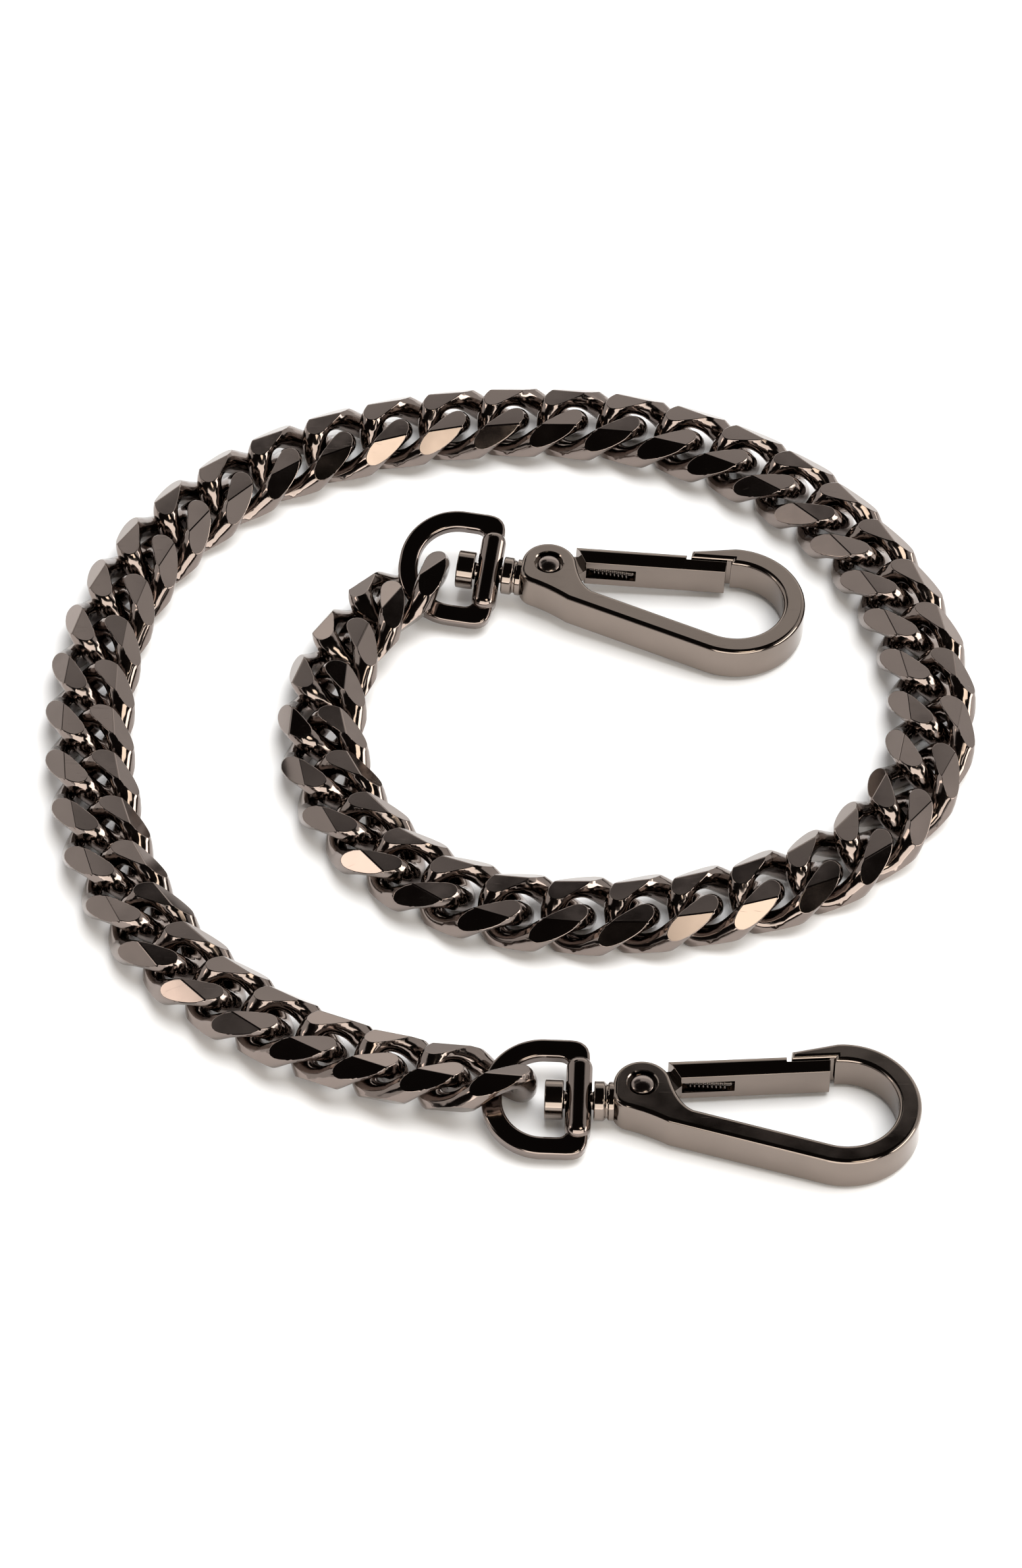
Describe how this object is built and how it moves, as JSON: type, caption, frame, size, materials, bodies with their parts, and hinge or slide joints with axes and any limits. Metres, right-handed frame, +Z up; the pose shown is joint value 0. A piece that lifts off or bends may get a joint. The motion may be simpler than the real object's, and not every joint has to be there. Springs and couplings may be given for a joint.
{
  "type": "wallet chain",
  "caption": "Polished gunmetal curb chain with cut flat facets and a swivel snap hook on each end, laid in a loose spiral.",
  "frame": {"origin": "on the surface that the chain lies on, under the middle of the whole layout", "axes": "+Z up from that surface; +X to the right along the hooks and +Y away from the viewer, so the hooks point along +X"},
  "size_m": [0.1412, 0.1572, 0.0095],
  "materials": {
    "gunmetal_link": "polished black-nickel plate over steel, with flat cut facets",
    "gunmetal_ring": "polished black-nickel plate",
    "gunmetal_hook": "polished black-nickel plate over die casting",
    "gunmetal_gate": "polished black-nickel plate",
    "gunmetal_rivet": "polished steel rivet, a little brighter than the plate"
  },
  "bodies": {
    "link_01": {"link_01": "gunmetal_link"},
    "link_02": {"link_02": "gunmetal_link"},
    "link_03": {"link_03": "gunmetal_link"},
    "link_04": {"link_04": "gunmetal_link"},
    "link_05": {"link_05": "gunmetal_link"},
    "link_06": {"link_06": "gunmetal_link"},
    "link_07": {"link_07": "gunmetal_link"},
    "link_08": {"link_08": "gunmetal_link"},
    "link_09": {"link_09": "gunmetal_link"},
    "link_10": {"link_10": "gunmetal_link"},
    "link_11": {"link_11": "gunmetal_link"},
    "link_12": {"link_12": "gunmetal_link"},
    "link_13": {"link_13": "gunmetal_link"},
    "link_14": {"link_14": "gunmetal_link"},
    "link_15": {"link_15": "gunmetal_link"},
    "link_16": {"link_16": "gunmetal_link"},
    "link_17": {"link_17": "gunmetal_link"},
    "link_18": {"link_18": "gunmetal_link"},
    "link_19": {"link_19": "gunmetal_link"},
    "link_20": {"link_20": "gunmetal_link"},
    "link_21": {"link_21": "gunmetal_link"},
    "link_22": {"link_22": "gunmetal_link"},
    "link_23": {"link_23": "gunmetal_link"},
    "link_24": {"link_24": "gunmetal_link"},
    "link_25": {"link_25": "gunmetal_link"},
    "link_26": {"link_26": "gunmetal_link"},
    "link_27": {"link_27": "gunmetal_link"},
    "link_28": {"link_28": "gunmetal_link"},
    "link_29": {"link_29": "gunmetal_link"},
    "link_30": {"link_30": "gunmetal_link"},
    "link_31": {"link_31": "gunmetal_link"},
    "link_32": {"link_32": "gunmetal_link"},
    "link_33": {"link_33": "gunmetal_link"},
    "link_34": {"link_34": "gunmetal_link"},
    "link_35": {"link_35": "gunmetal_link"},
    "link_36": {"link_36": "gunmetal_link"},
    "link_37": {"link_37": "gunmetal_link"},
    "link_38": {"link_38": "gunmetal_link"},
    "link_39": {"link_39": "gunmetal_link"},
    "link_40": {"link_40": "gunmetal_link"},
    "link_41": {"link_41": "gunmetal_link"},
    "link_42": {"link_42": "gunmetal_link"},
    "link_43": {"link_43": "gunmetal_link"},
    "link_44": {"link_44": "gunmetal_link"},
    "link_45": {"link_45": "gunmetal_link"},
    "link_46": {"link_46": "gunmetal_link"},
    "link_47": {"link_47": "gunmetal_link"},
    "link_48": {"link_48": "gunmetal_link"},
    "link_49": {"link_49": "gunmetal_link"},
    "link_50": {"link_50": "gunmetal_link"},
    "link_51": {"link_51": "gunmetal_link"},
    "ring_a": {"ring_a": "gunmetal_ring"},
    "hook_a": {"hook_a": "gunmetal_hook", "rivet_a": "gunmetal_rivet"},
    "gate_a": {"gate_a": "gunmetal_gate"},
    "ring_b": {"ring_b": "gunmetal_ring"},
    "hook_b": {"hook_b": "gunmetal_hook", "rivet_b": "gunmetal_rivet"},
    "gate_b": {"gate_b": "gunmetal_gate"}
  },
  "joints": [
    {"name": "play_26_27", "type": "hinge", "parent": "link_26", "child": "link_27", "pos_m": [0.03487, 0.06359, 0.00357], "axis": [0.3155, 0.6328, 0.7071], "range_deg": [-8.5, 16]},
    {"name": "play_27_28", "type": "hinge", "parent": "link_27", "child": "link_28", "pos_m": [0.04247, 0.05807, 0.00357], "axis": [0.4156, 0.5721, -0.7071], "range_deg": [-16, 8.5]},
    {"name": "play_28_29", "type": "hinge", "parent": "link_28", "child": "link_29", "pos_m": [0.04906, 0.05136, 0.00357], "axis": [-0.5043, -0.4956, -0.7071], "range_deg": [-16, 8.5]},
    {"name": "play_29_30", "type": "hinge", "parent": "link_29", "child": "link_30", "pos_m": [0.05445, 0.04366, 0.00357], "axis": [-0.5792, -0.4056, 0.7071], "range_deg": [-10, 16]},
    {"name": "play_30_31", "type": "hinge", "parent": "link_30", "child": "link_31", "pos_m": [0.05872, 0.03529, 0.00357], "axis": [-0.63, -0.321, -0.7071], "range_deg": [-16, 10]},
    {"name": "play_31_32", "type": "hinge", "parent": "link_31", "child": "link_32", "pos_m": [0.06178, 0.0264, 0.00357], "axis": [0.6686, 0.2302, -0.7071], "range_deg": [-16, 10]},
    {"name": "play_32_33", "type": "hinge", "parent": "link_32", "child": "link_33", "pos_m": [0.06357, 0.01717, 0.00357], "axis": [0.6941, 0.1349, 0.7071], "range_deg": [-10, 16]},
    {"name": "play_33_34", "type": "hinge", "parent": "link_33", "child": "link_34", "pos_m": [0.06407, 0.00778, 0.00357], "axis": [-0.7061, -0.037, 0.7071], "range_deg": [-5.5, 16]},
    {"name": "play_34_35", "type": "hinge", "parent": "link_34", "child": "link_35", "pos_m": [0.06227, -0.00144, 0.00357], "axis": [0.6941, -0.1349, 0.7071], "range_deg": [-5.5, 16]},
    {"name": "play_35_36", "type": "hinge", "parent": "link_35", "child": "link_36", "pos_m": [0.0583, -0.00996, 0.00357], "axis": [0.6409, -0.2988, -0.7071], "range_deg": [-16, 5.5]},
    {"name": "play_36_37", "type": "hinge", "parent": "link_36", "child": "link_37", "pos_m": [0.05238, -0.01727, 0.00357], "axis": [-0.5495, 0.445, -0.7071], "range_deg": [-16, 5.5]},
    {"name": "play_37_38", "type": "hinge", "parent": "link_37", "child": "link_38", "pos_m": [0.04488, -0.02292, 0.00357], "axis": [-0.4255, 0.5647, 0.7071], "range_deg": [-5.5, 16]},
    {"name": "play_38_39", "type": "hinge", "parent": "link_38", "child": "link_39", "pos_m": [0.03622, -0.0266, 0.00357], "axis": [-0.2763, 0.6509, -0.7071], "range_deg": [-16, 10]},
    {"name": "play_39_40", "type": "hinge", "parent": "link_39", "child": "link_40", "pos_m": [0.02717, -0.02911, 0.00357], "axis": [0.189, -0.6814, -0.7071], "range_deg": [-16, 10]},
    {"name": "play_40_41", "type": "hinge", "parent": "link_40", "child": "link_41", "pos_m": [0.01786, -0.03042, 0.00357], "axis": [0.0984, -0.7002, 0.7071], "range_deg": [-10, 16]},
    {"name": "play_41_42", "type": "hinge", "parent": "link_41", "child": "link_42", "pos_m": [0.00846, -0.0305, 0.00357], "axis": [-0.0062, 0.7071, 0.7071], "range_deg": [-10, 16]},
    {"name": "play_42_43", "type": "hinge", "parent": "link_42", "child": "link_43", "pos_m": [-0.00087, -0.02935, 0.00357], "axis": [-0.0862, -0.7018, 0.7071], "range_deg": [-5, 16]},
    {"name": "play_43_44", "type": "hinge", "parent": "link_43", "child": "link_44", "pos_m": [-0.00962, -0.02591, 0.00357], "axis": [-0.2592, -0.6579, -0.7071], "range_deg": [-16, 5]},
    {"name": "play_44_45", "type": "hinge", "parent": "link_44", "child": "link_45", "pos_m": [-0.01722, -0.02038, 0.00357], "axis": [0.4156, 0.5721, -0.7071], "range_deg": [-16, 5]},
    {"name": "play_45_46", "type": "hinge", "parent": "link_45", "child": "link_46", "pos_m": [-0.0232, -0.01313, 0.00365], "axis": [0.5456, 0.4498, 0.7071], "range_deg": [-5, 16]},
    {"name": "play_46_47", "type": "hinge", "parent": "link_46", "child": "link_47", "pos_m": [-0.02717, -0.00461, 0.00379], "axis": [0.6409, 0.2988, -0.7071], "range_deg": [-16, 5]},
    {"name": "play_47_48", "type": "hinge", "parent": "link_47", "child": "link_48", "pos_m": [-0.02889, 0.00463, 0.00396], "axis": [-0.6953, -0.1289, -0.7071], "range_deg": [-16, 5]},
    {"name": "play_48_49", "type": "hinge", "parent": "link_48", "child": "link_49", "pos_m": [-0.02823, 0.01401, 0.00416], "axis": [-0.7054, 0.0493, 0.7071], "range_deg": [-5, 16]},
    {"name": "play_49_50", "type": "hinge", "parent": "link_49", "child": "link_50", "pos_m": [-0.02525, 0.02292, 0.00436], "axis": [0.6706, -0.2244, 0.7071], "range_deg": [-4, 16]},
    {"name": "play_50_51", "type": "hinge", "parent": "link_50", "child": "link_51", "pos_m": [-0.02013, 0.03081, 0.00456], "axis": [-0.593, 0.3851, 0.7071], "range_deg": [-5, 13]},
    {"name": "play_25_26", "type": "hinge", "parent": "link_26", "child": "link_25", "pos_m": [0.02646, 0.06779, 0.00357], "axis": [0.3155, 0.6328, 0.7071], "range_deg": [-16, 8.5]},
    {"name": "play_24_25", "type": "hinge", "parent": "link_25", "child": "link_24", "pos_m": [0.01747, 0.07053, 0.00357], "axis": [0.2067, 0.6762, -0.7071], "range_deg": [-8.5, 16]},
    {"name": "play_23_24", "type": "hinge", "parent": "link_24", "child": "link_23", "pos_m": [0.00815, 0.07176, 0.00357], "axis": [-0.0923, -0.7011, -0.7071], "range_deg": [-11, 16]},
    {"name": "play_22_23", "type": "hinge", "parent": "link_23", "child": "link_22", "pos_m": [-0.00125, 0.07193, 0.00357], "axis": [-0.0123, -0.707, 0.7071], "range_deg": [-16, 11]},
    {"name": "play_21_22", "type": "hinge", "parent": "link_22", "child": "link_21", "pos_m": [-0.01061, 0.07102, 0.00357], "axis": [0.0678, -0.7038, -0.7071], "range_deg": [-11, 16]},
    {"name": "play_20_21", "type": "hinge", "parent": "link_21", "child": "link_20", "pos_m": [-0.0198, 0.06907, 0.00357], "axis": [-0.147, 0.6917, -0.7071], "range_deg": [-10.5, 16]},
    {"name": "play_19_20", "type": "hinge", "parent": "link_20", "child": "link_19", "pos_m": [-0.02869, 0.06601, 0.00357], "axis": [-0.2302, 0.6686, 0.7071], "range_deg": [-16, 10.5]},
    {"name": "play_18_19", "type": "hinge", "parent": "link_19", "child": "link_18", "pos_m": [-0.03714, 0.06189, 0.00357], "axis": [0.31, -0.6355, 0.7071], "range_deg": [-16, 8.5]},
    {"name": "play_17_18", "type": "hinge", "parent": "link_18", "child": "link_17", "pos_m": [-0.04474, 0.05636, 0.00357], "axis": [-0.4156, 0.5721, 0.7071], "range_deg": [-16, 8.5]},
    {"name": "play_16_17", "type": "hinge", "parent": "link_17", "child": "link_16", "pos_m": [-0.05127, 0.0496, 0.00357], "axis": [-0.5086, 0.4912, -0.7071], "range_deg": [-8.5, 16]},
    {"name": "play_15_16", "type": "hinge", "parent": "link_16", "child": "link_15", "pos_m": [-0.05653, 0.04181, 0.00357], "axis": [0.5862, -0.3954, -0.7071], "range_deg": [-8.5, 16]},
    {"name": "play_14_15", "type": "hinge", "parent": "link_15", "child": "link_14", "pos_m": [-0.06035, 0.03322, 0.00357], "axis": [0.646, -0.2876, 0.7071], "range_deg": [-16, 9]},
    {"name": "play_13_14", "type": "hinge", "parent": "link_14", "child": "link_13", "pos_m": [-0.06279, 0.02414, 0.00357], "axis": [0.683, -0.183, -0.7071], "range_deg": [-9, 16]},
    {"name": "play_12_13", "type": "hinge", "parent": "link_13", "child": "link_12", "pos_m": [-0.06377, 0.01479, 0.00357], "axis": [-0.7032, 0.0739, -0.7071], "range_deg": [-11.5, 16]},
    {"name": "play_11_12", "type": "hinge", "parent": "link_12", "child": "link_11", "pos_m": [-0.06385, 0.00539, 0.00357], "axis": [-0.7071, 0.0062, 0.7071], "range_deg": [-16, 11.5]},
    {"name": "play_10_11", "type": "hinge", "parent": "link_11", "child": "link_10", "pos_m": [-0.06303, -0.00397, 0.00357], "axis": [0.7044, 0.0616, 0.7071], "range_deg": [-16, 11.5]},
    {"name": "play_09_10", "type": "hinge", "parent": "link_10", "child": "link_09", "pos_m": [-0.06132, -0.01321, 0.00357], "axis": [-0.6953, -0.1289, 0.7071], "range_deg": [-16, 11.5]},
    {"name": "play_08_09", "type": "hinge", "parent": "link_09", "child": "link_08", "pos_m": [-0.05873, -0.02225, 0.00357], "axis": [-0.6797, -0.1949, -0.7071], "range_deg": [-9, 16]},
    {"name": "play_07_08", "type": "hinge", "parent": "link_08", "child": "link_07", "pos_m": [-0.05476, -0.03077, 0.00357], "axis": [0.6409, 0.2988, -0.7071], "range_deg": [-9, 16]},
    {"name": "play_06_07", "type": "hinge", "parent": "link_07", "child": "link_06", "pos_m": [-0.0495, -0.03856, 0.00365], "axis": [0.5862, 0.3954, 0.7071], "range_deg": [-16, 9]},
    {"name": "play_05_06", "type": "hinge", "parent": "link_06", "child": "link_05", "pos_m": [-0.04309, -0.04544, 0.00379], "axis": [0.5171, 0.4822, -0.7071], "range_deg": [-9, 16]},
    {"name": "play_04_05", "type": "hinge", "parent": "link_05", "child": "link_04", "pos_m": [-0.03568, -0.05122, 0.00396], "axis": [-0.4353, -0.5572, -0.7071], "range_deg": [-10, 16]},
    {"name": "play_03_04", "type": "hinge", "parent": "link_04", "child": "link_03", "pos_m": [-0.02754, -0.05592, 0.00416], "axis": [-0.3536, -0.6124, 0.7071], "range_deg": [-16, 10]},
    {"name": "play_02_03", "type": "hinge", "parent": "link_03", "child": "link_02", "pos_m": [-0.01883, -0.05944, 0.00434], "axis": [0.2649, 0.6556, 0.7071], "range_deg": [-16, 10]},
    {"name": "play_01_02", "type": "hinge", "parent": "link_02", "child": "link_01", "pos_m": [-0.0097, -0.06172, 0.00454], "axis": [-0.1711, -0.6861, 0.7071], "range_deg": [-16, 10]},
    {"name": "ring_tilt_a", "type": "hinge", "parent": "link_01", "child": "ring_a", "pos_m": [-0.00282, -0.06487, 0.00393], "axis": [0.0366, 0.9809, 0.1908], "range_deg": [-20, 14.5]},
    {"name": "swivel_a", "type": "hinge", "parent": "ring_a", "child": "hook_a", "pos_m": [0.00967, -0.06531, 0.00377], "axis": [0.9993, -0.0349, -0.0122], "continuous": true},
    {"name": "gate_a_pivot", "type": "hinge", "parent": "hook_a", "child": "gate_a", "pos_m": [0.01881, -0.06433, 0.00366], "axis": [0.0122, -0.0004, 0.9999], "range_deg": [-24, 0], "stiffness_Nm_per_rad": 0.02, "springref_deg": 17.19},
    {"name": "ring_tilt_b", "type": "hinge", "parent": "link_51", "child": "ring_b", "pos_m": [-0.0158, 0.03954, 0.00568], "axis": [0.1607, 0.9259, 0.3417], "range_deg": [-8.5, 20]},
    {"name": "swivel_b", "type": "hinge", "parent": "ring_b", "child": "hook_b", "pos_m": [-0.00346, 0.03758, 0.00517], "axis": [0.9869, -0.1563, -0.0407], "continuous": true},
    {"name": "gate_b_pivot", "type": "hinge", "parent": "hook_b", "child": "gate_b", "pos_m": [0.00572, 0.03744, 0.0048], "axis": [0.0402, -0.0064, 0.9992], "range_deg": [-24, 0], "stiffness_Nm_per_rad": 0.02, "springref_deg": 17.19}
  ]
}
